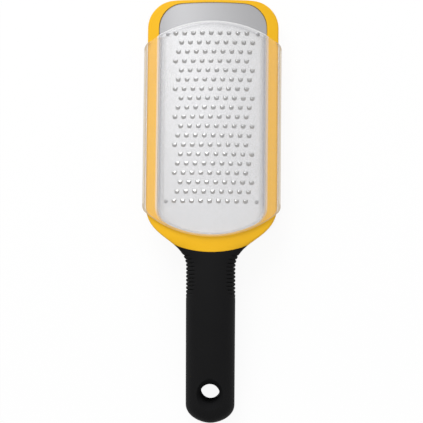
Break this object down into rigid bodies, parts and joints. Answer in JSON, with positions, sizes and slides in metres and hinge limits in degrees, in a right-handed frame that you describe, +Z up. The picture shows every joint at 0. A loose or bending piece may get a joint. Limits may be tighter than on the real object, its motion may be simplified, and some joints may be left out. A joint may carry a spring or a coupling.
{
  "type": "hand grater",
  "caption": "Paddle hand grater with a domed toothed steel plate in a moulded frame, a soft finned grip with a hanging hole, a foot under the tip and a slip-on cover.",
  "frame": {"origin": "middle of the bounding box on the table, with the grater lying on its foot and the belly of its grip", "axes": "+Y from the end of the handle to the tip, +Z up out of the grating side, +X to the right"},
  "size_m": [0.0934, 0.2876, 0.0302],
  "materials": {
    "frame_yellow": "smooth moulded, soft gloss",
    "plate_steel": "etched satin",
    "grip_black": "matte soft touch",
    "core_black": "as moulded",
    "cover_frost": "frosted, see-through"
  },
  "bodies": {
    "grater": {"head_frame": "frame_yellow", "grating_plate": "plate_steel", "plate_rivet_tip_left": "plate_steel", "plate_rivet_tip_right": "plate_steel", "plate_rivet_heel_left": "plate_steel", "plate_rivet_heel_right": "plate_steel", "tip_foot": "grip_black", "handle_core": "core_black", "handle_grip": "grip_black"},
    "cover": {"cover": "cover_frost"}
  },
  "joints": [
    {"name": "cover_slide", "type": "slide", "parent": "grater", "child": "cover", "axis": [0, 0.9986, -0.052], "range_m": [0, 0.165]}
  ]
}
